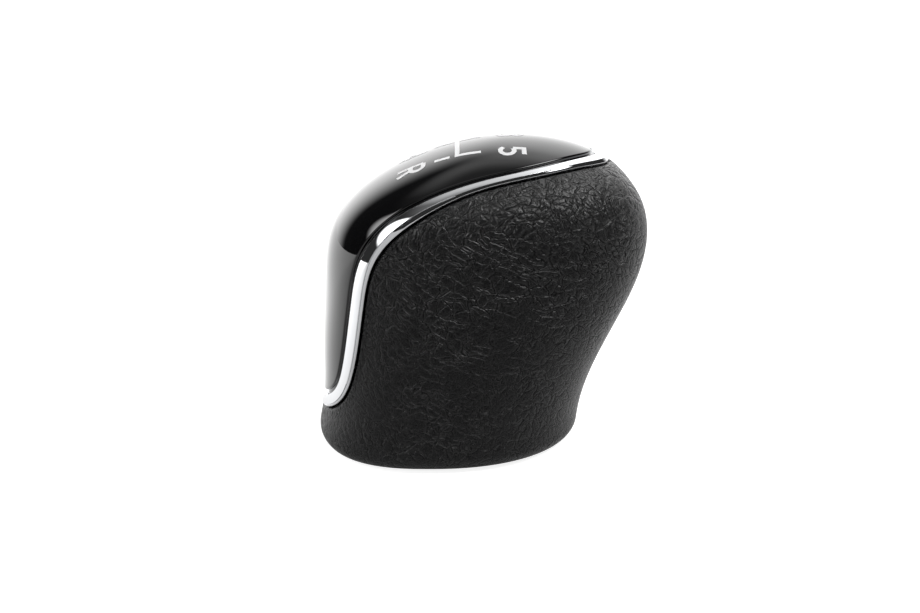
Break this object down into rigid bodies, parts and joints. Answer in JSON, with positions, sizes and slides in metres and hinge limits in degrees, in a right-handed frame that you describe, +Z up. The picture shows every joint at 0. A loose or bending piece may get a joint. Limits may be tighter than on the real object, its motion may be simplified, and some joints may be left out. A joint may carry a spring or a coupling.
{
  "type": "gear shift knob",
  "caption": "Leather-wrapped gear shift knob with a gloss black cap over the top and rear face, chrome trim ring and printed shift pattern, on a threaded insert.",
  "frame": {"origin": "on the gear lever's axis, in the plane of the base plate's underside and the mouth of the threaded insert", "axes": "+X towards the front of the car, +Y towards the driver's left, +Z up along the lever; the knob is symmetric about the plane y = 0 apart from its printed shift pattern"},
  "size_m": [0.0713, 0.0532, 0.066],
  "materials": {
    "piano_black": "high gloss, lacquered",
    "chrome": "bright plated",
    "carrier_plastic": "moulded",
    "screw_steel": "zinc plated",
    "core_plastic": "glass-filled nylon, moulded",
    "foam": "soft polyurethane foam",
    "leather": "pebbled grain, satin",
    "insert_steel": "turned, zinc plated",
    "base_plastic": "moulded, fine matt"
  },
  "bodies": {
    "root": {"gloss_cap": "piano_black", "chrome_ring": "chrome", "trim_carrier": "carrier_plastic", "carrier_screws": "screw_steel", "core": "core_plastic", "foam_pad": "foam", "leather_cover": "leather", "threaded_insert": "insert_steel", "base_plate": "base_plastic", "base_screws": "screw_steel"}
  },
  "joints": []
}
